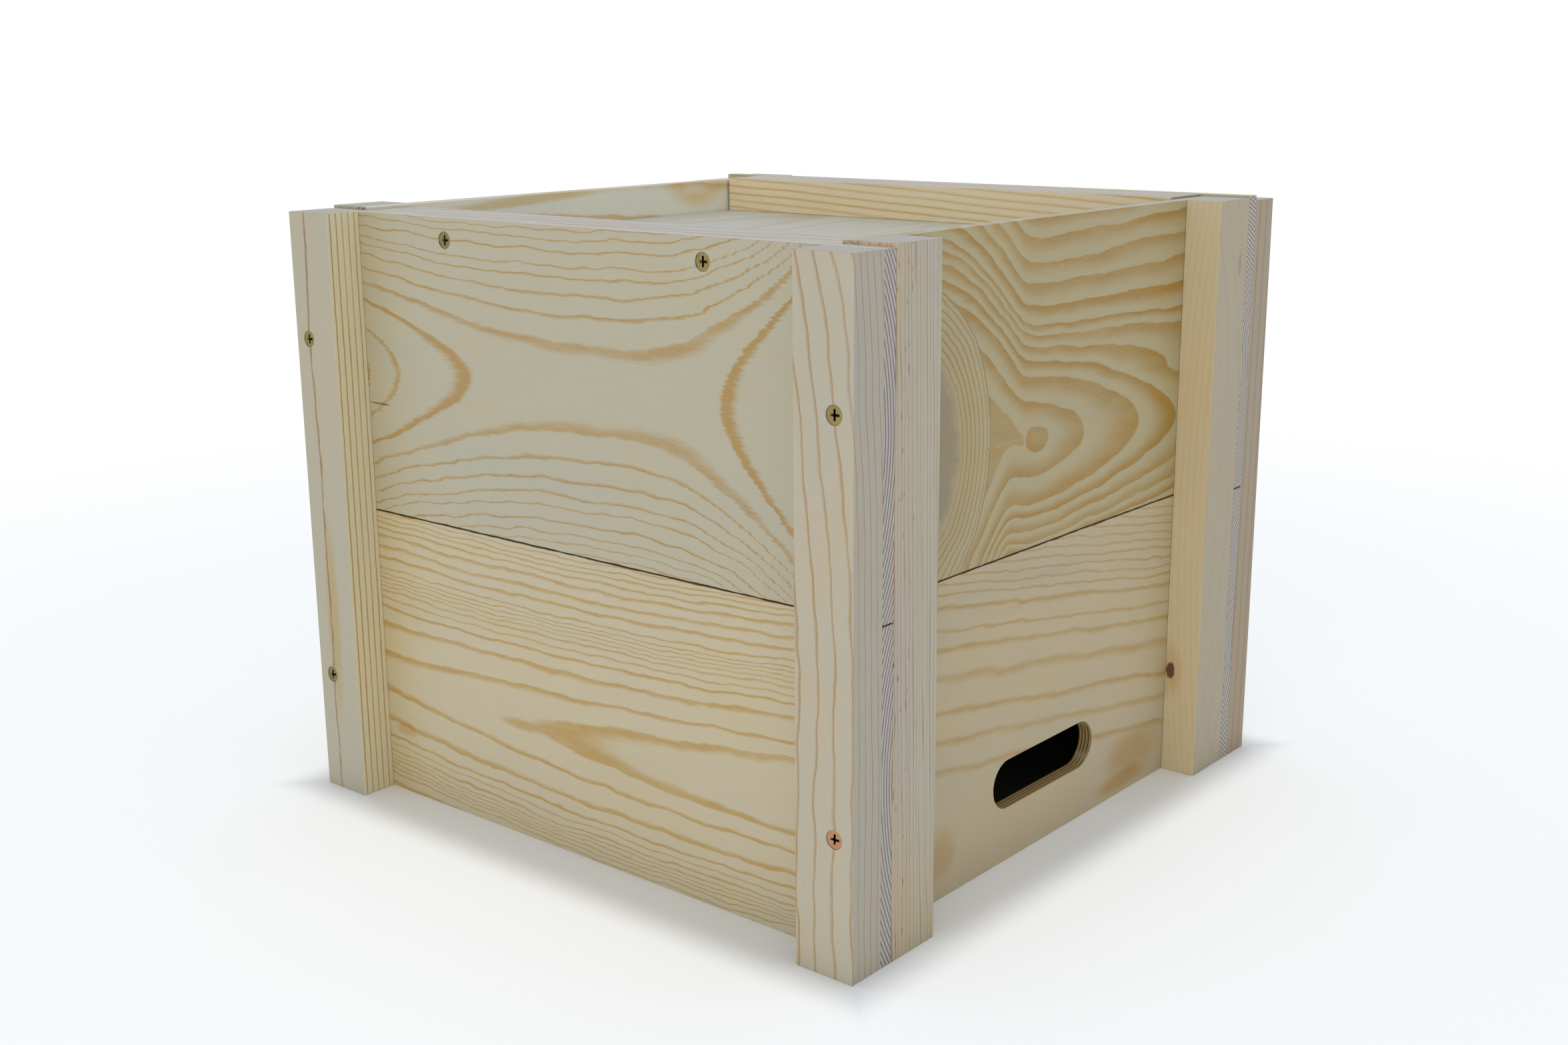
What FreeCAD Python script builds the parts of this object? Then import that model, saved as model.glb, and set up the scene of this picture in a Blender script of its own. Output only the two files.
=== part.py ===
import FreeCAD, Part
import os

# Square pine hive box, standing on its open rim with a closed deck on top.
# Thin boards, two to a wall, are held between corner battens. The front wall and some battens end a little
# below the side walls, and the back wall a little above them. Two rails are screwed inside the front and
# back walls, each level with its wall's top edge, and carry a deck of two boards on their undersides.
# The right wall has a rounded entrance slot near the ground.
# Millimetres. +Z is up, the origin is the centre of the footprint on the ground, and the front is at -Y.

# Driving dimensions
WIDTH = 350.0  # over the side battens, along X
DEPTH = 350.0  # over the front and back battens, along Y
HEIGHT = 300.0  # of the side walls and the longer battens
TOP_STEP = 1.5  # the front wall and the short battens are cut this much shorter
BACK_RISE = 1.0  # the back wall stands this much taller
SHORT_BATTENS = ("front_left", "front_right", "back_right", "left_back")
BOARD_T = 7.5
BATTEN_T = 19.0
BATTEN_W = 30.0
SEAM = 0.4  # between boards of one wall, and between neighbouring timbers
RAIL_END_GAP = 1.25  # from a rail's end to the side wall
ARRIS = 0.4  # rounding of every sawn edge
CUT_MARGIN = 1.0  # how far a cutter starts outside the timber

SLOT_BOARD = "right_lower_board"
SLOT_LENGTH = 88.0
SLOT_HEIGHT = 24.0
SLOT_Z = 38.5  # centre of the slot above the ground

# Screws: thread diameter, head diameter, length
LONG_SCREW = (4.0, 8.0, 50.0)  # batten to batten, through the wall's ends
RAIL_SCREW = (4.0, 8.0, 30.0)  # front or back wall to rail
SHORT_SCREW = (3.0, 6.0, 20.0)  # boards to the battens and rails, driven from inside
HEAD_SINK = 0.35  # head top below the timber's face
HEAD_RIM = 0.3  # straight edge of the countersunk head
HEAD_GAP = 0.15  # around the head in its countersink
TIP_LENGTH_RATIO = 1.5  # point length over thread diameter
RECESS_SPAN = 0.6  # of the cross recess, over head diameter
RECESS_WIDTH = 0.14  # of each wing, over head diameter
RECESS_DEPTH = 0.26  # over head diameter
RECESS_FOOT = 0.35  # wing length at the recess's bottom, over its length at the top

BATTEN_SCREW_Z = (62.0, 236.5)
RAIL_SCREW_X = 81.5
RAIL_SCREW_DROP = 10.5  # below the rail's top face
WALL_SCREW_Z = (34.0, 116.0, 184.0, 266.0)
DECK_SCREW_X = (36.0, 118.0)

# Derived places
HALF_W = WIDTH / 2
HALF_D = DEPTH / 2
WALL_HEIGHT = {"front": HEIGHT - TOP_STEP, "back": HEIGHT + BACK_RISE}
FRONT_FACE = HALF_D - BATTEN_T  # |y| of the front and back walls' outer faces
FRONT_INNER = FRONT_FACE - BOARD_T
SIDE_FACE = HALF_W - BATTEN_T  # |x| of the side walls' outer faces
SIDE_INNER = SIDE_FACE - BOARD_T
SIDE_END = FRONT_INNER - SEAM  # |y| where side boards, side battens and rails end
RAIL_BOTTOM = WALL_HEIGHT["back"] - BATTEN_T
DECK_BOTTOM = RAIL_BOTTOM - BOARD_T
CORNER_SCREW_X = HALF_W - BATTEN_T / 2
INNER_SCREW_Y = SIDE_END - BATTEN_W / 2

SIGNS = {"x": {"left": -1, "right": 1}, "y": {"front": -1, "back": 1}}


def vector(x, y, z):
    return FreeCAD.Vector(x, y, z)


def timber(x, y, z):
    """A sawn piece with its arrises taken off, from (low, high) spans in any order."""
    spans = [sorted(span) for span in (x, y, z)]
    size = [high - low for low, high in spans]
    solid = Part.makeBox(*size, vector(*[low for low, high in spans]))
    return solid.makeFillet(ARRIS, solid.Edges)


def stacked_boards(height):
    """The (low, high) heights of a wall's lower and upper board."""
    middle = height / 2
    return {"lower": (0.0, middle - SEAM / 2), "upper": (middle + SEAM / 2, height)}


def front_and_back_boards():
    parts = {}
    for face, sign in SIGNS["y"].items():
        for level, z in stacked_boards(WALL_HEIGHT[face]).items():
            y = (sign * FRONT_INNER, sign * FRONT_FACE)
            parts[f"{face}_{level}_board"] = timber((-HALF_W, HALF_W), y, z)
    return parts


def slot_cutter():
    """The stadium-shaped prism that the entrance slot takes out of the right wall."""
    radius = SLOT_HEIGHT / 2
    reach = SLOT_LENGTH / 2 - radius
    start = SIDE_INNER - CUT_MARGIN
    length = BOARD_T + 2 * CUT_MARGIN
    ends = [
        Part.makeCylinder(radius, length, vector(start, y, SLOT_Z), vector(1, 0, 0))
        for y in (-reach, reach)
    ]
    middle = Part.makeBox(length, 2 * reach, SLOT_HEIGHT, vector(start, -reach, SLOT_Z - radius))
    return middle.fuse(ends).removeSplitter()


def slotted(board):
    """The board with the entrance slot, its two rims eased like the other edges."""
    cutter = slot_cutter()
    board = board.cut(cutter)
    reach = cutter.BoundBox
    reach.enlarge(ARRIS)
    rims = [
        edge for edge in board.Edges if edge.BoundBox.XLength < ARRIS and reach.isInside(edge.BoundBox)
    ]
    return board.makeFillet(ARRIS, rims)


def side_boards():
    parts = {}
    for side, sign in SIGNS["x"].items():
        for level, z in stacked_boards(HEIGHT).items():
            x = (sign * SIDE_INNER, sign * SIDE_FACE)
            parts[f"{side}_{level}_board"] = timber(x, (-SIDE_END, SIDE_END), z)
    parts[SLOT_BOARD] = slotted(parts[SLOT_BOARD])
    return parts


def batten_height(place):
    return HEIGHT - TOP_STEP if place in SHORT_BATTENS else HEIGHT


def corner_battens():
    """Two battens at each corner: one on the front or back wall, one on the side wall."""
    parts = {}
    for face, y_sign in SIGNS["y"].items():
        for side, x_sign in SIGNS["x"].items():
            parts[f"{face}_{side}_batten"] = timber(
                (x_sign * (HALF_W - BATTEN_W), x_sign * HALF_W),
                (y_sign * FRONT_FACE, y_sign * HALF_D),
                (0.0, batten_height(f"{face}_{side}")),
            )
            parts[f"{side}_{face}_batten"] = timber(
                (x_sign * SIDE_FACE, x_sign * HALF_W),
                (y_sign * (SIDE_END - BATTEN_W), y_sign * SIDE_END),
                (0.0, batten_height(f"{side}_{face}")),
            )
    return parts


def rails():
    parts = {}
    end = SIDE_INNER - RAIL_END_GAP
    for face, sign in SIGNS["y"].items():
        y = (sign * (SIDE_END - BATTEN_W), sign * SIDE_END)
        parts[f"{face}_rail"] = timber((-end, end), y, (RAIL_BOTTOM, WALL_HEIGHT[face]))
    return parts


def deck_boards():
    parts = {}
    for side, sign in SIGNS["x"].items():
        x = (sign * SEAM / 2, sign * (SIDE_INNER - SEAM))
        parts[f"{side}_deck_board"] = timber(x, (-SIDE_END, SIDE_END), (DECK_BOTTOM, RAIL_BOTTOM))
    return parts


def turned(profile):
    """The solid swept by a closed (radius, depth) profile about the Z axis."""
    points = [vector(radius, 0, depth) for radius, depth in profile]
    face = Part.Face(Part.makePolygon(points + points[:1]))
    return face.revolve(vector(0, 0, 0), vector(0, 0, 1), 360)


def screw_profile(kind):
    """Half section of a countersunk screw: +depth runs into the timber from its face."""
    thread, head, length = kind
    rim = HEAD_SINK + HEAD_RIM
    cone_end = rim + (head - thread) / 2
    tip_start = length - TIP_LENGTH_RATIO * thread
    return [
        (0, HEAD_SINK),
        (head / 2, HEAD_SINK),
        (head / 2, rim),
        (thread / 2, cone_end),
        (thread / 2, tip_start),
        (0, length),
    ]


def cross_recess(head):
    """Cutter for the driver recess: two tapered wings, crossed."""
    half_top = RECESS_SPAN * head / 2
    half_foot = half_top * RECESS_FOOT
    half_width = RECESS_WIDTH * head / 2
    bottom = HEAD_SINK + RECESS_DEPTH * head
    outline = [
        vector(-half_top, -half_width, 0),
        vector(half_top, -half_width, 0),
        vector(half_top, -half_width, HEAD_SINK),
        vector(half_foot, -half_width, bottom),
        vector(-half_foot, -half_width, bottom),
        vector(-half_top, -half_width, HEAD_SINK),
    ]
    face = Part.Face(Part.makePolygon(outline + outline[:1]))
    wing = face.extrude(vector(0, 2 * half_width, 0))
    crossed = wing.copy()
    crossed.rotate(vector(0, 0, 0), vector(0, 0, 1), 90)
    return wing.fuse(crossed)


def screw(kind):
    return turned(screw_profile(kind)).cut(cross_recess(kind[1]))


def screw_hole(kind):
    """What the screw's envelope and its countersink take out of the timbers."""
    mouth = kind[1] / 2 + HEAD_GAP
    rim = HEAD_SINK + HEAD_RIM
    entry = [(0, -CUT_MARGIN), (mouth, -CUT_MARGIN), (mouth, rim)]
    below_rim = screw_profile(kind)[2:]
    return turned(entry + below_rim)


def corner_screw_places(sign):
    """(place, inward direction) of the four screws through one wall's end battens."""
    return [
        (vector(x, sign * HALF_D, z), vector(0, -sign, 0))
        for x in (-CORNER_SCREW_X, CORNER_SCREW_X)
        for z in BATTEN_SCREW_Z
    ]


def rail_screw_places(face, sign):
    z = WALL_HEIGHT[face] - RAIL_SCREW_DROP
    return [
        (vector(x, sign * FRONT_FACE, z), vector(0, -sign, 0)) for x in (-RAIL_SCREW_X, RAIL_SCREW_X)
    ]


def wall_screw_places(sign):
    """Screws from inside through a side wall's board ends into its battens."""
    return [
        (vector(sign * SIDE_INNER, y, z), vector(sign, 0, 0))
        for y in (-INNER_SCREW_Y, INNER_SCREW_Y)
        for z in WALL_SCREW_Z
    ]


def deck_screw_places():
    """Screws from below through the deck boards into the rails."""
    return [
        (vector(x_sign * x, y, DECK_BOTTOM), vector(0, 0, 1))
        for x_sign in SIGNS["x"].values()
        for x in DECK_SCREW_X
        for y in (-INNER_SCREW_Y, INNER_SCREW_Y)
    ]


def screw_groups():
    """Node name: (kind of screw, its places)."""
    groups = {"deck_screws": (SHORT_SCREW, deck_screw_places())}
    for face, sign in SIGNS["y"].items():
        groups[f"{face}_corner_screws"] = (LONG_SCREW, corner_screw_places(sign))
        groups[f"{face}_rail_screws"] = (RAIL_SCREW, rail_screw_places(face, sign))
    for side, sign in SIGNS["x"].items():
        groups[f"{side}_wall_screws"] = (SHORT_SCREW, wall_screw_places(sign))
    return groups


def placed(solid, places):
    """Copies of a solid built about the Z axis, one at each (place, direction)."""
    copies = []
    for place, direction in places:
        turn = FreeCAD.Rotation(vector(0, 0, 1), direction)
        copy = solid.copy()
        copy.Placement = FreeCAD.Placement(place, turn)
        copies.append(copy)
    return copies


def drilled(solid, holes):
    for hole in holes:
        if solid.BoundBox.intersect(hole.BoundBox):
            solid = solid.cut(hole)
    return solid


def main():
    timbers = {
        **front_and_back_boards(),
        **side_boards(),
        **corner_battens(),
        **rails(),
        **deck_boards(),
    }
    groups = screw_groups()
    holes = [hole for kind, places in groups.values() for hole in placed(screw_hole(kind), places)]
    shapes = {name: drilled(solid, holes) for name, solid in timbers.items()}
    for name, (kind, places) in groups.items():
        shapes[name] = Part.makeCompound(placed(screw(kind), places))

    os.makedirs("parts", exist_ok=True)
    for name, shape in shapes.items():
        shape.exportStep(f"parts/{name}.step")
        print(f"{name}: {len(shape.Solids)} solid(s), {shape.Volume / 1000:.1f} cm3, valid {shape.isValid()}")


main()
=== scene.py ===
"""Looks of the pine hive box: wood figure on every timber, plated screws, a pale floor and soft light."""

import math
from collections import namedtuple

import bpy
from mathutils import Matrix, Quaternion, Vector


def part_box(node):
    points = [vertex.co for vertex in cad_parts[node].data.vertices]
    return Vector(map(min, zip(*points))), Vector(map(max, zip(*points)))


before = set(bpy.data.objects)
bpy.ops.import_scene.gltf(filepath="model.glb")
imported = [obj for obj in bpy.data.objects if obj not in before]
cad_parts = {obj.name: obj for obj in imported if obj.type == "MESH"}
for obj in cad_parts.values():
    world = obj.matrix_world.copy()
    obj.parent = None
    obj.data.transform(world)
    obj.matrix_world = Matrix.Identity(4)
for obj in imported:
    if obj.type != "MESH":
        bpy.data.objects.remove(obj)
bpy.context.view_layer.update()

MM = 0.001
AXES = "xyz"


# ---------------------------------------------------------------- shader arithmetic

class Field:
    """A number that varies over a surface. Arithmetic on fields makes the shader's Math nodes."""

    def __init__(self, tree, socket):
        self.tree = tree
        self.socket = socket

    def math(self, operation, *values):
        node = self.tree.nodes.new("ShaderNodeMath")
        node.operation = operation
        for socket, value in zip(node.inputs, values):
            feed(self.tree, socket, value)
        return Field(self.tree, node.outputs[0])

    def __add__(self, other):
        return self.math("ADD", self, other)

    __radd__ = __add__

    def __sub__(self, other):
        return self.math("SUBTRACT", self, other)

    def __rsub__(self, other):
        return self.math("SUBTRACT", other, self)

    def __mul__(self, other):
        return self.math("MULTIPLY", self, other)

    __rmul__ = __mul__

    def __truediv__(self, other):
        return self.math("DIVIDE", self, other)

    def squared(self):
        return self.math("MULTIPLY", self, self)

    def root(self):
        return self.math("SQRT", self.at_least(0))

    def size(self):
        return self.math("ABSOLUTE", self)

    def floor(self):
        return self.math("FLOOR", self)

    def at_least(self, low):
        return self.math("MAXIMUM", self, low)

    def at_most(self, high):
        return self.math("MINIMUM", self, high)

    def past(self, start):
        """How far the field is past start, or 0."""
        return (self - start).at_least(0)

    def bent(self, start, softness):
        """Like past, but the corner at start is rounded."""
        beyond = self - start
        return (beyond + (beyond.squared() + softness * softness).root()) * 0.5

    def ramp(self, low, high, smooth=False):
        """0 at low and before, 1 at high and beyond."""
        node = self.tree.nodes.new("ShaderNodeMapRange")
        node.interpolation_type = "SMOOTHSTEP" if smooth else "LINEAR"
        feed(self.tree, node.inputs["Value"], self)
        feed(self.tree, node.inputs["From Min"], low)
        feed(self.tree, node.inputs["From Max"], high)
        return Field(self.tree, node.outputs["Result"])

    def step(self, low, high):
        return self.ramp(low, high, smooth=True)


def feed(tree, socket, value):
    """Links a field to a socket, or sets the socket's own value."""
    if isinstance(value, Field):
        tree.links.new(value.socket, socket)
    else:
        socket.default_value = value


def distance(*offsets):
    """Length of a vector given by its parts."""
    total = offsets[0].squared()
    for offset in offsets[1:]:
        total = total + offset.squared()
    return total.root()


def mixed(tree, amount, under, over, mode="MIX"):
    """One colour laid over another."""
    node = tree.nodes.new("ShaderNodeMix")
    node.data_type = "RGBA"
    node.blend_type = mode
    feed(tree, node.inputs["Factor"], amount)
    for name, colour in (("A", under), ("B", over)):
        socket = next(s for s in node.inputs if s.name == name and s.type == "RGBA")
        feed(tree, socket, colour if isinstance(colour, Field) else (*colour, 1.0))
    return Field(tree, next(s for s in node.outputs if s.type == "RGBA"))


def grey(tree, value):
    """A colour whose three parts are all one field."""
    node = tree.nodes.new("ShaderNodeCombineColor")
    for socket in node.inputs[:3]:
        tree.links.new(value.socket, socket)
    return Field(tree, node.outputs[0])


def noise_at(tree, point, detail=1.0, roughness=0.5):
    """Smooth noise from -1 to 1 at a point socket."""
    node = tree.nodes.new("ShaderNodeTexNoise")
    node.inputs["Scale"].default_value = 1.0
    node.inputs["Detail"].default_value = detail
    node.inputs["Roughness"].default_value = roughness
    tree.links.new(point, node.inputs["Vector"])
    return Field(tree, node.outputs["Fac"]) * 2.0 - 1.0


def scaled(tree, vector, factors, shift):
    """vector times factors plus shift, as a socket."""
    node = tree.nodes.new("ShaderNodeVectorMath")
    node.operation = "MULTIPLY_ADD"
    tree.links.new(vector, node.inputs[0])
    node.inputs[1].default_value = factors
    node.inputs[2].default_value = shift
    return node.outputs["Vector"]


def new_material(name):
    material = bpy.data.materials.new(name)
    material.use_nodes = True
    tree = material.node_tree
    return material, tree, tree.nodes["Principled BSDF"]


# ---------------------------------------------------------------- one timber's own coordinates

# how squarely a surface faces along an axis where it starts to count as an end or a side, and where it is one
FACING = (0.6, 0.9)


class Timber:
    """Coordinates on one timber, in millimetres of the row frame: along its grain, across it, and inward
    from its outer face. Every noise in it is shifted by the timber's own seed."""

    def __init__(self, tree, node, layout, seed):
        self.tree = tree
        self.seed = seed
        lookup = tree.nodes.new("ShaderNodeTexCoord")
        millimetres = scaled(tree, lookup.outputs["Object"], (1 / MM,) * 3, (0, 0, 0))
        parts = tree.nodes.new("ShaderNodeSeparateXYZ")
        tree.links.new(millimetres, parts.inputs[0])
        place = [Field(tree, socket) for socket in parts.outputs]
        self.along = place[AXES.index(layout.along)]
        self.across = place[AXES.index(layout.across)]
        axis = AXES.index(layout.inward)
        low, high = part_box(node)
        if layout.outer_is_low:
            self.inward = place[axis] - low[axis] / MM
        else:
            self.inward = high[axis] / MM - place[axis]
        self.end_grain = self.facing(AXES.index(layout.along)).step(*FACING)
        self.narrow_side = self.facing(AXES.index(layout.across)).step(*FACING)
        combined = tree.nodes.new("ShaderNodeCombineXYZ")
        for socket, field in zip(combined.inputs, (self.along, self.across, self.inward)):
            tree.links.new(field.socket, socket)
        self.point = combined.outputs[0]
        self.frayed = self.along + 3.4 * self.noise(16, 1.1, 20, 2.0)
        self.wavy = self.across + 2.2 * self.noise(30, 14, 21) + 0.9 * self.noise(9, 5, 22)

    def facing(self, axis):
        """1 where the surface faces along an axis, either way."""
        geometry = self.tree.nodes.new("ShaderNodeNewGeometry")
        parts = self.tree.nodes.new("ShaderNodeSeparateXYZ")
        self.tree.links.new(geometry.outputs["Normal"], parts.inputs[0])
        return Field(self.tree, parts.outputs[axis]).size()

    def noise(self, length, width, salt=0, detail=1.0, roughness=0.5):
        """Noise in cells of a length along the grain and a width across it."""
        shift = (self.seed * 7.3 + salt * 3.1, self.seed * 4.7 - salt * 5.9, self.seed * 1.9 + salt)
        factors = (1 / length, 1 / width, 1 / width)
        return noise_at(self.tree, scaled(self.tree, self.point, factors, shift), detail, roughness)

    def luck(self, year):
        """A random number from 0 to 1 for each growth ring."""
        node = self.tree.nodes.new("ShaderNodeTexWhiteNoise")
        node.noise_dimensions = "1D"
        feed(self.tree, node.inputs["W"], year + self.seed * 17.0)
        return Field(self.tree, node.outputs["Value"])


Layout = namedtuple("Layout", "along across inward outer_is_low")
FRONT_WALL = Layout("x", "z", "y", True)
BACK_WALL = Layout("x", "z", "y", False)
LEFT_WALL = Layout("y", "z", "x", True)
RIGHT_WALL = Layout("y", "z", "x", False)
FRONT_UPRIGHT = Layout("z", "x", "y", True)
BACK_UPRIGHT = Layout("z", "x", "y", False)
LEFT_UPRIGHT = Layout("z", "y", "x", True)
RIGHT_UPRIGHT = Layout("z", "y", "x", False)
RAIL = Layout("x", "y", "z", False)
DECK = Layout("y", "x", "z", False)


# ---------------------------------------------------------------- pine

END_PALE = (0.485, 0.44, 0.395)
END_LINE = (0.17, 0.15, 0.15)
FAINT_END_LINE = (0.43, 0.39, 0.36)
END_RING_WIDTH = 1.8
FLECK = (0.30, 0.19, 0.12)
FLECK_SHARE = 0.35
CLOUD_TINT = (1.0, 0.94, 0.82)
COOL_TINT = (0.93, 0.97, 1.05)
JOINT_TINT = (0.30, 0.20, 0.12)
JOINT_FADE = (0.1, 0.45)  # millimetres from a joint: dark up to the first, clear from the second
# pale and late are the two colours of a ring; late_from is where in a ring the latewood starts, and
# softness is the share of the latewood in which it comes up; edge is how soft the ring's outer edge is
TONE_PARTS = "pale late late_from softness edge end_pale end_line"
Tone = namedtuple("Tone", TONE_PARTS, defaults=(END_PALE, END_LINE))


def end_rings(timber, pith):
    """Close rings about a pith, which is given as its depth inward and its place across."""
    depth, across = pith
    reach = distance(timber.inward - depth, 0.9 * (timber.across - across))
    return (reach + 0.4 * timber.noise(60, 25, 12)) / END_RING_WIDTH


def joint_shade(timber, node):
    """1 in the ragged dark line where the two boards of one wall meet, or None on other timbers."""
    low, high = (corner.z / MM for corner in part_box(node))
    if node.endswith("upper_board"):
        offset = timber.across - low
    elif node.endswith("lower_board"):
        offset = high - timber.across
    else:
        return None
    return 1.0 - (offset + 0.6 * timber.noise(9, 40, 13, 2.0)).step(*JOINT_FADE)


def pine(node, layout, seed, rings, tone, marks=None, pith=(40, 60)):
    """Pine for one timber. rings(timber) counts its growth rings, whole numbers at their outer edges, and
    may give with the count how much later than usual the latewood starts.
    marks(timber) gives (amount, tint) pairs, which multiply the figure under them: stains, knots and
    dashes that darken it, and painted light and painted shade on single faces, where a part over 1 makes it
    paler."""
    material, tree, shader = new_material("pine_" + node)
    timber = Timber(tree, node, layout, seed)
    ring, delay = rings(timber)
    year = ring.floor()
    phase = ring - year
    luck = timber.luck(year)
    start = delay + 0.05 * luck + (tone.late_from + 0.08 * timber.noise(10, 0.8, 6, 2.0))
    rise = ((phase - start) / ((1.0 - start) * tone.softness)).step(0, 1)
    late = rise * (1.0 - phase.step(1.0 - tone.edge, 1.0))
    patches = 0.4 * timber.noise(45, 6, 7, 2.0) + 0.3 * timber.noise(7, 0.7, 8, 2.0)
    late = late * (0.74 + 0.36 * luck + patches)
    fibres = timber.noise(11, 0.32, 3, 3.0, 0.65)
    cloud = timber.noise(60, 22, 4, 2.0)

    colour = mixed(tree, late, tone.pale, tone.late)
    colour = mixed(tree, cloud.ramp(0.0, 0.5) * 0.6, colour, CLOUD_TINT, "MULTIPLY")
    cool = timber.noise(110, 45, 9).ramp(0.0, 0.45)
    colour = mixed(tree, cool * 0.7, colour, COOL_TINT, "MULTIPLY")
    dashes = timber.noise(3.2, 0.42, 5).step(0.60, 0.74) * FLECK_SHARE
    colour = mixed(tree, dashes, colour, FLECK)
    for amount, tint in (marks(timber) if marks else ()):
        colour = mixed(tree, amount, colour, tint, "MULTIPLY")
    end_ring = end_rings(timber, pith)
    end_phase = end_ring - end_ring.floor()
    end_line = end_phase.step(0.35, 0.8) * (1.0 - end_phase.step(0.9, 1.0))
    end_colour = mixed(tree, end_line, tone.end_pale, tone.end_line)
    colour = mixed(tree, timber.end_grain, colour, end_colour)
    joint = joint_shade(timber, node)
    if joint:
        colour = mixed(tree, joint, colour, JOINT_TINT, "MULTIPLY")
    light = 1.0 + 0.07 * fibres + 0.03 * cloud
    colour = mixed(tree, 1.0, colour, grey(tree, light), "MULTIPLY")

    tree.links.new(colour.socket, shader.inputs["Base Color"])
    feed(tree, shader.inputs["Roughness"], 0.52 - 0.08 * late + 0.05 * fibres)
    shader.inputs["Specular IOR Level"].default_value = 0.45
    height = 0.035 * late + 0.02 * fibres - 0.05 * dashes
    bump = tree.nodes.new("ShaderNodeBump")
    bump.inputs["Distance"].default_value = MM
    tree.links.new(height.socket, bump.inputs["Height"])
    tree.links.new(bump.outputs["Normal"], shader.inputs["Normal"])
    return material


def ring_count(reach, edges):
    """Counts the rings out to a reach, where edges are the reaches of their outer edges."""
    count = reach.ramp(edges[0], edges[1])
    for inner, outer in zip(edges[1:], edges[2:]):
        count = count + reach.ramp(inner, outer)
    return count


def oval(timber, along, length, sideways, width, rim=0.5):
    """1 in a ragged oval round an along, of a length, where sideways is the offset from its middle the
    other way and width its size that way. It fades to 0 at its rim."""
    reach = distance((timber.along - along) / (length / 2), sideways / (width / 2))
    return 1.0 - (reach + 0.25 * timber.noise(length / 3, width / 3, 30, 2.0)).step(1 - rim, 1 + rim)


def spot(timber, along, across, length, width):
    """An oval on a timber's outer face."""
    return oval(timber, along, length, timber.across - across, width)


# ---------------------------------------------------------------- figures of the boards in view

STAIN = (0.86, 0.66, 0.36)
CRACK = (0.35, 0.22, 0.15)
# painted warm reflection for the left ends of the front boards
WARM_REFLECTION_TINT = (1.0, 0.97, 0.88)
BRANCH_TINT = (0.95, 0.72, 0.40)
# painted light that makes the left wall's inner face paler
PAINTED_LIGHT_INNER_FACE = (1.50, 1.55, 1.72)
# Each board's list holds the reaches of its ring edges: in square millimetres for the
# hourglass, and in millimetres for the others
WAIST_RINGS = (-2300, -1600, -1110, -323, 424, 1096, 1772, 2411, 2916, 3721, 4369, 4872, 5476)
WAIST_HEART = 424


def painted_warm_reflection(timber):
    """Painted warm reflection at the left end of both front boards, beside the front left batten."""
    return 1.0 - timber.along.step(-145, -95), WARM_REFLECTION_TINT


def hourglass_rings(timber):
    """Nested tips point in from both ends to a pale waist, and bands sag towards it from above and below."""
    x = timber.frayed
    height = timber.wavy - (227.2 + 0.031 * x - 0.00012 * x.squared())
    rise = height.at_least(height * (-1 / 1.05))
    left_fan = 0.0789 * (0 - x).past(0).squared()
    right_fan = 0.00277 * x.past(25).squared() * x.past(25)
    reach = rise.squared() - left_fan - right_fan
    stretch = 0.35 * (WAIST_HEART - reach).at_least(0) * x.ramp(20, 60)
    reach = (reach + stretch).at_least(1400 * x.ramp(20, 60) - 2300)
    count = ring_count(reach + 90 * timber.inward, WAIST_RINGS)
    thin = 0.05 * reach.ramp(430, 470) + 0.05 * (1.0 - reach.ramp(-1100, -1000))
    return count, thin - 0.12 * x.ramp(60, 85) * (1.0 - reach.ramp(400, 424))


def hourglass_marks_and_painted_light(timber):
    return [
        (spot(timber, -137, 204.5, 15, 0.8), CRACK),
        # painted warm reflection at the left end
        painted_warm_reflection(timber),
        # painted light: the top edge is made paler and cooler, as if lit from above
        (timber.narrow_side, (1.17, 1.18, 1.41)),
    ]


FLAME_RINGS = (
    5, 18.4, 26, 36.2, 42.6, 46.3, 49.9, 52.2, 54.1, 56.1, 58, 60.8, 66.5, 71.8, 77.2, 80.8, 83.8, 86.2, 89.2,
)


def flame_rings(timber):
    """A long tongue that points left, with runs of narrow rings towards both edges."""
    x = timber.frayed
    height = timber.wavy - (59.7 + 0.00023 * (x + 15).squared())
    reach = (height.squared() + 2.0 * (129 - x)).root()
    count = ring_count(reach - 0.8 * timber.inward, FLAME_RINGS)
    return count, 0.0 - 0.1 * reach.ramp(46, 50)


def flame_stains_and_painted_reflection(timber):
    return [
        (spot(timber, -42, 57.4, 26, 5) * 0.9, STAIN),
        (spot(timber, -131, 34, 15, 6) * 0.7, STAIN),
        # painted warm reflection at the left end
        painted_warm_reflection(timber),
    ]


EYE_RINGS = (-10, 5.3, 17.2, 29.2, 35.5, 42, 47.5, 52, 60.5, 69.5, 79, 90.5, 101)


def swirl_reach(timber):
    """Distance from the middle of the swirl at the near edge."""
    return distance(timber.along + 115, 0.85 * (timber.wavy - 207))


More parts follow.
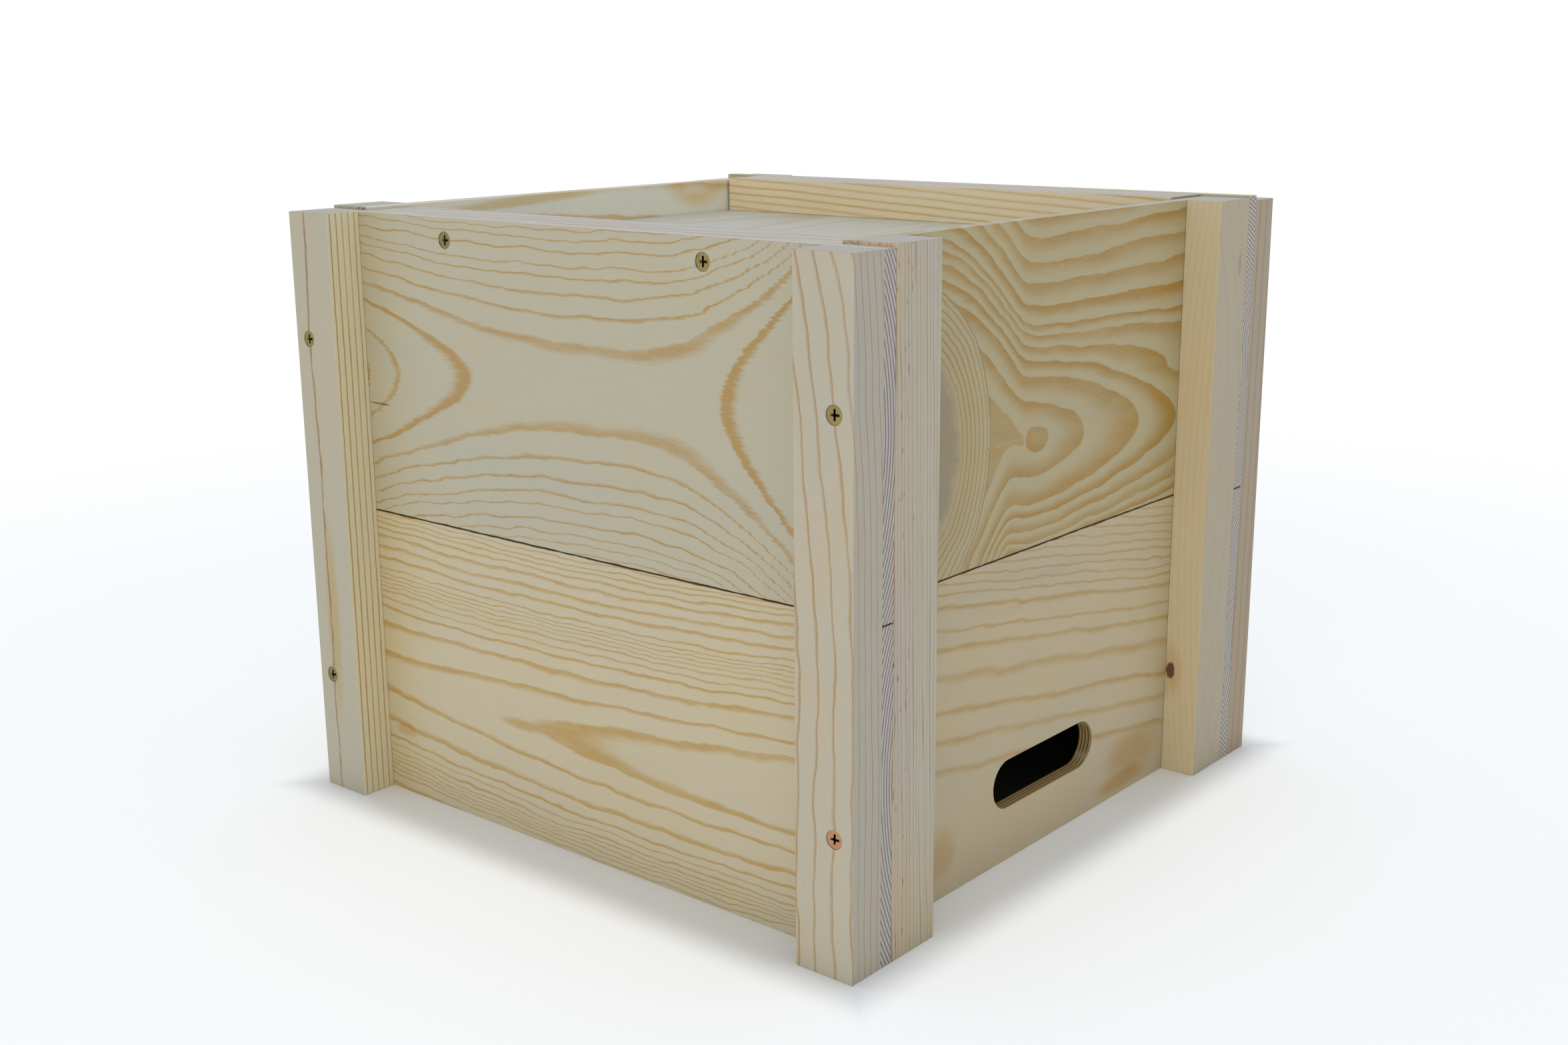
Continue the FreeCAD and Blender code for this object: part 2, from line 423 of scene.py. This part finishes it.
def eye_rings(timber):
    """Loops round a small eye, which open on one side and bend away from a swirl at the near edge."""
    x = timber.along + 0.5 * timber.noise(16, 0.9, 20, 2.0)
    height = timber.wavy - 199.6 + 0.06 * x
    height = height - 0.1 * x.past(-15) * height.ramp(45, 85)
    from_eye = x + 14.5
    backward = 0 - x
    leaving = backward.bent(28, 5)
    above = height - leaving + 0.006 * leaving.squared()
    below = 0.3 * backward.bent(26, 3) - 1.6 * backward.bent(38, 5) - height
    gap = above.at_least(below).at_least(0)
    closing = 11 * ((from_eye.squared() + 19 * 19).root() - 19)
    closing = closing.at_most(24 + 2000 * x.ramp(-26, -20)) * (1.0 - height.ramp(25, 48))
    reach = (gap.squared() + closing).root()
    loops = ring_count(reach - 0.5 * timber.inward, EYE_RINGS)
    swirl = (62.5 - swirl_reach(timber)).at_least(0) / 3.1
    inside = swirl.ramp(0, 0.3)
    count = loops * (1.0 - inside) + (swirl + 20) * inside
    tail = spot(timber, -44, 202.5, 24, 2.2) * 0.8
    return count, 0.4 * inside + 0.35 * swirl.ramp(6, 8) + tail


def eye_marks_and_painted_light(timber):
    swirl = swirl_reach(timber) + 4.0 * timber.noise(9, 5, 8, 2.0)
    return [
        (1.0 - swirl.step(44, 60), (0.96, 0.92, 0.86)),
        (1.0 - swirl.step(33, 41), (0.72, 0.74, 0.86)),
        # painted light: the top edge is made paler and cooler, as if lit from above
        (timber.narrow_side, (1.12, 1.23, 1.60)),
    ]


DRIFT_RINGS = (
    50, 64.5, 79, 91.5, 109, 121, 128.5, 139, 144, 148.5, 153, 157.5, 162, 166.5, 171, 175.5, 180, 184.5,
)


def drifting_rings(timber):
    """Soft bands that fall towards the far end and widen downwards."""
    reach = timber.wavy + 0.168 * (timber.along + 90) + 0.8 * timber.noise(45, 22, 9)
    return ring_count(reach + 0.3 * timber.inward, DRIFT_RINGS), 0.0


def drifting_marks(timber):
    layer = timber.inward / 1.9
    layer = layer - layer.floor()
    stripe = layer.step(0.4, 0.7) * (1.0 - layer.step(0.85, 1.0))
    blush = timber.noise(50, 10, 10).step(-0.2, 0.8) * timber.across.step(105, 130) * 0.5
    return [
        (spot(timber, 84, 20, 46, 22) * 0.8, STAIN),
        (spot(timber, 76, 7, 46, 9) * 0.9, STAIN),
        (spot(timber, -86, 21, 20, 22) * 0.6, STAIN),
        (blush, (0.88, 0.80, 0.84)),
        (timber.narrow_side, (1.0, 0.90, 0.66)),
        (stripe * timber.narrow_side, (0.42, 0.28, 0.14)),
    ]


# ---------------------------------------------------------------- figures of the battens

def front_left_rings(timber):
    """One line down the front face and close lines down the side."""
    across = timber.across + 3.0 * timber.noise(80, 60, 7) + 1.2 * timber.noise(22, 12, 8)
    return (-165 - across) / 32 + timber.inward / 3.6 + 5, 0.12 - 0.20 * timber.narrow_side


def front_left_haze_and_painted_light(timber):
    haze = oval(timber, 92, 90, timber.across + 161, 9) * (1.0 - timber.narrow_side)
    # painted light makes the inner side face paler, in place of light reaching into the corner
    return [(timber.narrow_side, (1.48, 1.44, 1.27)), (haze, (0.98, 0.84, 0.58))]


def front_right_rings(timber):
    """Lines that lean in from the top left and straighten downwards."""
    up = timber.along.past(110)
    lean = 19 - 0.00054 * up.squared()
    across = timber.across + 4.0 * timber.noise(60, 40, 7) + 1.6 * timber.noise(20, 12, 8)
    return (across - 147.5 - lean) / 9.2 + timber.inward / 4.1 + 6, 0.0


def front_right_painted_shade(timber):
    # painted shade darkens the batten's outer side face
    return [(timber.narrow_side, (0.825, 0.84, 0.915))]


def fine_upright_rings(timber):
    """Fine lines, a little uneven."""
    bend = 1.4 * timber.noise(120, 7, 7) + 1.8 * timber.noise(400, 3, 8)
    across = timber.across + 0.02 * timber.along + bend
    return across / 2.5 + timber.inward / 5 + 80, 0.0


def fine_upright_marks_and_painted_light(timber):
    front_third = 1.0 - timber.across.step(-139, -130)
    dashes = timber.noise(8, 0.9, 40).step(0.40, 0.50) * front_third
    foot = 1.0 - timber.along.step(12, 60)
    return [
        (front_third, (1.0, 0.96, 0.96)),
        (foot, (1.0, 0.96, 0.86)),
        # painted light on the narrow front face, which lies in shade in the gap above the front board
        (timber.narrow_side, (1.50, 1.30, 1.05)),
        (dashes, (0.42, 0.30, 0.26)),
    ]


def plain_upright_rings(timber):
    """A few broad, faint lines."""
    bow = 0.0004 * (timber.along - 150).squared()
    return (timber.across + 2.0 * timber.noise(70, 30, 7)) / 11 + (timber.inward + bow) / 3.6 + 20, 0.0


def plain_upright_knot_and_painted_light(timber):
    knot_depth = timber.inward - 16
    halo = oval(timber, 55.5, 26, knot_depth, 13)
    knot = oval(timber, 55.5, 9, knot_depth, 5, 0.2)
    return [
        # painted light makes the narrow front face paler, and painted shade darkens the outer face
        (timber.narrow_side, (1.1124, 1.0593, 0.9579)),
        (1.0 - timber.narrow_side, (0.72, 0.71, 0.705)),
        (halo * timber.narrow_side * 0.5, (0.85, 0.62, 0.36)),
        (knot * timber.narrow_side, (0.22, 0.13, 0.10)),
        (spot(timber, 268, 141, 12, 3), (0.75, 0.72, 0.70)),
    ]


def shaded_upright_marks(timber):
    warm = 1.0 - timber.along.step(60, 220)
    return [
        # painted shade darkens the side face, which is warmer towards the bottom
        (timber.narrow_side, (0.77, 0.70, 0.66)),
        (timber.narrow_side * warm, (1.0, 0.95, 0.84)),
    ]


# ---------------------------------------------------------------- figures of everything else

def cathedral(peak, axis, stretch, pitch):
    """Arched tips about an axis; stretch is how much longer than wide they are."""
    def rings(timber):
        spread = (timber.wavy - axis).squared() + (timber.frayed - peak) * stretch
        return spread / pitch + 30 + 0.35 * timber.inward, 0.0
    return rings


def layered(timber):
    """Bold layers along a rail's inner face that dip to the right, and broad lines on its top."""
    depth = timber.inward - 0.05 * timber.along + 1.0 * timber.noise(70, 20, 7)
    return depth / 4.2 + timber.across / 13 + 40, 0.0


def ruddy_streaks_and_painted_light(timber):
    streaks = timber.noise(90, 2.2, 41).step(0.0, 0.3) * (1.0 - timber.narrow_side)
    # painted shade darkens and cools the top faces, which leaves the inner faces paler as painted light
    return [(1.0 - timber.narrow_side, (0.60, 0.665, 0.88)), (streaks, (0.93, 0.83, 0.82))]


def half_knot_and_painted_light(timber):
    """A pale orange branch trace, cut in half by the top edge near the back, and painted light that makes the
    inner face paler.
    """
    ring = spot(timber, 92, 300, 40, 24) - spot(timber, 92, 300, 28, 14) * 0.6
    streak = oval(timber, -45, 120, timber.across - 297 - 0.05 * (timber.along + 45), 5)
    painted_light_inner_face = timber.inward.step(4, 7)
    return [(painted_light_inner_face, PAINTED_LIGHT_INNER_FACE), (ring.at_least(0), BRANCH_TINT), (streak * 0.8, STAIN)]


def straight(pitch):
    """Lines nearly along the timber."""
    def rings(timber):
        drift = timber.across + 0.015 * timber.along + 0.8 * timber.noise(90, 20, 7)
        return drift / pitch + 60 + timber.inward / 7, 0.0
    return rings


WARM = Tone(pale=(0.518, 0.480, 0.357), late=(0.445, 0.285, 0.095), late_from=0.68, softness=0.60, edge=0.08)
FINE = Tone(pale=(0.603, 0.526, 0.362), late=(0.505, 0.332, 0.110), late_from=0.66, softness=0.60, edge=0.06)
GOLD = Tone(pale=(0.452, 0.383, 0.221), late=(0.362, 0.212, 0.036), late_from=0.12, softness=0.95, edge=0.04,
            end_pale=(0.60, 0.48, 0.34), end_line=(0.45, 0.33, 0.22))
SOFT = Tone(pale=(0.520, 0.428, 0.268), late=(0.430, 0.285, 0.090), late_from=0.55, softness=0.70, edge=0.20,
            end_pale=(0.46, 0.32, 0.13), end_line=(0.09, 0.05, 0.02))
PALE = Tone(pale=(0.542, 0.484, 0.368), late=(0.430, 0.290, 0.145), late_from=0.75, softness=0.70, edge=0.05,
            end_line=FAINT_END_LINE)
STREAKY = Tone(pale=(0.496, 0.453, 0.344), late=(0.300, 0.190, 0.080), late_from=0.76, softness=0.60,
               edge=0.04, end_line=FAINT_END_LINE)
FAINT = Tone(pale=(0.610, 0.535, 0.385), late=(0.565, 0.465, 0.285), late_from=0.55, softness=0.80, edge=0.30,
             end_line=FAINT_END_LINE)
GREY = Tone(pale=(0.490, 0.445, 0.345), late=(0.360, 0.290, 0.200), late_from=0.66, softness=0.60, edge=0.08,
            end_line=FAINT_END_LINE)
LIGHT = Tone(pale=(0.590, 0.555, 0.430), late=(0.500, 0.370, 0.185), late_from=0.60, softness=0.80, edge=0.10)
# the rails' wood is yellower than the rest, and its pale is also raised as painted light on the rails' inner
# faces
RUDDY_WITH_PAINTED_LIGHT = Tone(pale=(0.950, 0.800, 0.550), late=(0.740, 0.490, 0.190), late_from=0.40, softness=0.80, edge=0.25,
             end_line=FAINT_END_LINE)
CLEAR = Tone(pale=(0.568, 0.551, 0.470), late=(0.510, 0.415, 0.255), late_from=0.50, softness=0.90, edge=0.20)


# node: layout, seed, rings, tone, marks, pith
TIMBERS = {
    "front_upper_board": (FRONT_WALL, 1, hourglass_rings, WARM, hourglass_marks_and_painted_light, (-110, 228)),
    "front_lower_board": (FRONT_WALL, 2, flame_rings, FINE, flame_stains_and_painted_reflection, (120, 80)),
    "right_upper_board": (RIGHT_WALL, 3, eye_rings, GOLD, eye_marks_and_painted_light, (40, 200)),
    "right_lower_board": (RIGHT_WALL, 4, drifting_rings, SOFT, drifting_marks, (300, 40)),
    "left_upper_board": (LEFT_WALL, 5, cathedral(40, 225, 9, 2600), LIGHT, half_knot_and_painted_light, (40, 230)),
    "left_lower_board": (LEFT_WALL, 6, cathedral(-60, 80, -6, 540), FINE, None, (-30, 80)),
    "back_upper_board": (BACK_WALL, 7, cathedral(-90, 210, 7, 500), FINE, None, (38, 215)),
    "back_lower_board": (BACK_WALL, 8, cathedral(70, 60, -8, 650), WARM, None, (-40, 70)),
    "front_left_batten": (FRONT_UPRIGHT, 9, front_left_rings, STREAKY, front_left_haze_and_painted_light, (-40, -180)),
    "front_right_batten": (FRONT_UPRIGHT, 10, front_right_rings, PALE, front_right_painted_shade, (-30, 120)),
    "left_front_batten": (LEFT_UPRIGHT, 11, straight(4.5), PALE, None, (-20, -100)),
    "left_back_batten": (LEFT_UPRIGHT, 12, straight(6.0), GREY, None, (60, 120)),
    "right_front_batten": (RIGHT_UPRIGHT, 13, fine_upright_rings, GREY, fine_upright_marks_and_painted_light, (50, -160)),
    "right_back_batten": (RIGHT_UPRIGHT, 14, plain_upright_rings, FAINT, plain_upright_knot_and_painted_light, (-40, 150)),
    "back_left_batten": (BACK_UPRIGHT, 15, straight(7.0), PALE, None, (-30, -160)),
    "back_right_batten": (BACK_UPRIGHT, 16, straight(5.0), GREY, shaded_upright_marks, (40, 150)),
    "front_rail": (RAIL, 17, layered, RUDDY_WITH_PAINTED_LIGHT, ruddy_streaks_and_painted_light, (30, -130)),
    "back_rail": (RAIL, 18, layered, RUDDY_WITH_PAINTED_LIGHT, ruddy_streaks_and_painted_light, (-30, 150)),
    "left_deck_board": (DECK, 19, cathedral(-40, -80, 8, 1500), CLEAR, None, (30, -60)),
    "right_deck_board": (DECK, 20, cathedral(60, 70, -9, 1400), CLEAR, None, (-30, 70)),
}


def dress(node, material):
    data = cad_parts[node].data
    data.materials.clear()
    data.materials.append(material)


for node, (layout, seed, rings, tone, marks, pith) in TIMBERS.items():
    dress(node, pine(node, layout, seed, rings, tone, marks, pith))


# ---------------------------------------------------------------- screws

# painted shade in the screws' hollows
SHELTER_REACH = 0.003  # hollows narrower than this are dark
SHELTER = (0.25, 0.85)  # how open a place is where it starts to be plain plating, and where it is
PAINTED_HOLLOW_SHADE = (0.012, 0.011, 0.008)
OLIVE = (0.19, 0.19, 0.07)
OLD_GOLD = (0.32, 0.24, 0.10)
COPPERY = (0.50, 0.27, 0.14)
DRIFT_SCALE = 60.0
GRAIN_SCALE = 2500.0
# in metres, the bounds that single out the lower screw in the front right batten: its distance from the
# middle, both to the right and to the front, and its height
CORNER_EDGE = (0.15, 0.16)
LOW_EDGE = (0.1, 0.2)


def yellow_zinc():
    """Plated steel that drifts between gold and olive, with painted shade in its hollows. One screw in the
    front right batten is coppery.
    """
    material, tree, shader = new_material("yellow_zinc")
    lookup = tree.nodes.new("ShaderNodeTexCoord")
    drift = noise_at(tree, scaled(tree, lookup.outputs["Object"], (DRIFT_SCALE,) * 3, (0, 0, 0)))
    grain = noise_at(tree, scaled(tree, lookup.outputs["Object"], (GRAIN_SCALE,) * 3, (0, 0, 0)), 2.0)
    parts = tree.nodes.new("ShaderNodeSeparateXYZ")
    tree.links.new(lookup.outputs["Object"], parts.inputs[0])
    right, back, up = (Field(tree, socket) for socket in parts.outputs)
    odd_one = right.step(*CORNER_EDGE) * (0.0 - back).step(*CORNER_EDGE) * (1.0 - up.step(*LOW_EDGE))
    colour = mixed(tree, drift.ramp(-0.4, 0.3), OLIVE, OLD_GOLD)
    colour = mixed(tree, odd_one, colour, COPPERY)
    # painted shade: an ambient occlusion probe darkens the recess and the rim round each head
    shelter = tree.nodes.new("ShaderNodeAmbientOcclusion")
    shelter.inputs["Distance"].default_value = SHELTER_REACH
    unshaded = Field(tree, shelter.outputs["AO"]).step(*SHELTER)
    colour = mixed(tree, unshaded, PAINTED_HOLLOW_SHADE, colour)
    tree.links.new(colour.socket, shader.inputs["Base Color"])
    shader.inputs["Metallic"].default_value = 1.0
    feed(tree, shader.inputs["Roughness"], 0.34 + 0.08 * grain)
    return material


SCREWS = [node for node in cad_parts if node.endswith("_screws")]
zinc = yellow_zinc()
for node in SCREWS:
    dress(node, zinc)


# ---------------------------------------------------------------- floor, light and camera

WHITE_FROM = 0.4  # the floor fades to plain white between these distances from the middle
WHITE_AT = 1.1
PAINTED_SHADE_INSIDE = 0.12  # painted shade: the card is dark inside the hive, from the middle out to the walls
INSIDE_FROM = 0.146
INSIDE_TO = 0.150
CARD = 0.92
GLOW_FROM = 0.172  # the card glows a little outside the box, which lightens the box's shadow
GLOW_FULL = 0.200
GLOW = 0.34
FLOOR_RADIUS = 12.0


def pale_floor():
    """Pale card round the object, which fades to white further out. Inside the hive's walls the card is dark,
    as painted shade.
    """
    material, tree, shader = new_material("pale_floor")
    lookup = tree.nodes.new("ShaderNodeTexCoord")
    parts = tree.nodes.new("ShaderNodeSeparateXYZ")
    tree.links.new(lookup.outputs["Object"], parts.inputs[0])
    x, y = (Field(tree, socket) for socket in parts.outputs[:2])
    reach = distance(x, y)
    tone = noise_at(tree, scaled(tree, lookup.outputs["Object"], (300.0,) * 3, (0, 0, 0)), 2.0)
    square = x.size().at_least(y.size())
    # painted shade inside the hive's walls
    shade = PAINTED_SHADE_INSIDE + (CARD - PAINTED_SHADE_INSIDE) * square.step(INSIDE_FROM, INSIDE_TO)
    shade = shade + 0.01 * tone
    tree.links.new(grey(tree, shade).socket, shader.inputs["Base Color"])
    shader.inputs["Roughness"].default_value = 0.9
    shader.inputs["Specular IOR Level"].default_value = 0.0
    shader.inputs["Emission Color"].default_value = (1, 1, 1, 1)
    feed(tree, shader.inputs["Emission Strength"], GLOW * square.step(GLOW_FROM, GLOW_FULL))
    glow = tree.nodes.new("ShaderNodeEmission")
    fade = tree.nodes.new("ShaderNodeMixShader")
    feed(tree, fade.inputs["Fac"], reach.step(WHITE_FROM, WHITE_AT))
    tree.links.new(shader.outputs[0], fade.inputs[1])
    tree.links.new(glow.outputs[0], fade.inputs[2])
    tree.links.new(fade.outputs[0], tree.nodes["Material Output"].inputs["Surface"])
    return material


bpy.ops.mesh.primitive_circle_add(vertices=96, radius=FLOOR_RADIUS, fill_type="NGON")
floor = bpy.context.object
floor.name = "floor"
floor.data.materials.append(pale_floor())


SKY_COLOUR = (0.92, 0.96, 1.0, 1.0)
SKY_STRENGTH = 0.55


def soft_sky():
    """White all round for the camera and in reflections, and a dimmer even sky for the light."""
    world = bpy.data.worlds.new("sky")
    bpy.context.scene.world = world
    world.use_nodes = True
    tree = world.node_tree
    sky = tree.nodes["Background"]
    sky.inputs["Color"].default_value = SKY_COLOUR
    sky.inputs["Strength"].default_value = SKY_STRENGTH
    white = tree.nodes.new("ShaderNodeBackground")
    white.inputs["Color"].default_value = (1, 1, 1, 1)
    path = tree.nodes.new("ShaderNodeLightPath")
    choose = tree.nodes.new("ShaderNodeMixShader")
    seen = Field(tree, path.outputs["Is Camera Ray"]).at_least(Field(tree, path.outputs["Is Glossy Ray"]))
    feed(tree, choose.inputs["Fac"], seen)
    tree.links.new(sky.outputs[0], choose.inputs[1])
    tree.links.new(white.outputs[0], choose.inputs[2])
    tree.links.new(choose.outputs[0], tree.nodes["World Output"].inputs["Surface"])


MIDDLE = Vector((0, 0, 0.15))  # of the box


def softbox(name, place, size, power, colour):
    """A square area light aimed at the middle of the box."""
    light = bpy.data.lights.new(name, "AREA")
    light.size = size
    light.energy = power
    light.color = colour
    lamp = bpy.data.objects.new(name, light)
    bpy.context.scene.collection.objects.link(lamp)
    lamp.location = place
    aim = MIDDLE - lamp.location
    lamp.rotation_mode = "QUATERNION"
    lamp.rotation_quaternion = aim.to_track_quat("-Z", "Y")


soft_sky()
softbox("key", Vector((1.45, -3.5, 1.1)), 2.2, 19.0, (1.0, 0.92, 0.75))
softbox("top", Vector((0.1, 0.1, 2.4)), 1.6, 10.0, (0.74, 0.86, 1.0))

CAMERA_PLACE = Vector((0.5904, -0.7107, 0.3657))
CAMERA_AZIMUTH = math.radians(40.04)
CAMERA_ELEVATION = math.radians(14.06)
CAMERA_ROLL = math.radians(-0.41)
CAMERA_LENS = 41.85
SENSOR_WIDTH = 36.0


def aimed_camera():
    """The camera, turned by its azimuth, elevation and roll."""
    data = bpy.data.cameras.new("camera")
    data.sensor_width = SENSOR_WIDTH
    data.lens = CAMERA_LENS
    camera = bpy.data.objects.new("camera", data)
    bpy.context.scene.collection.objects.link(camera)
    ahead = Vector((
        -math.sin(CAMERA_AZIMUTH) * math.cos(CAMERA_ELEVATION),
        math.cos(CAMERA_AZIMUTH) * math.cos(CAMERA_ELEVATION),
        -math.sin(CAMERA_ELEVATION),
    ))
    roll = Quaternion((0, 0, 1), CAMERA_ROLL)
    camera.location = CAMERA_PLACE
    camera.rotation_mode = "QUATERNION"
    camera.rotation_quaternion = ahead.to_track_quat("-Z", "Y") @ roll
    return camera


bpy.context.scene.camera = aimed_camera()
bpy.context.scene.view_settings.view_transform = "Standard"
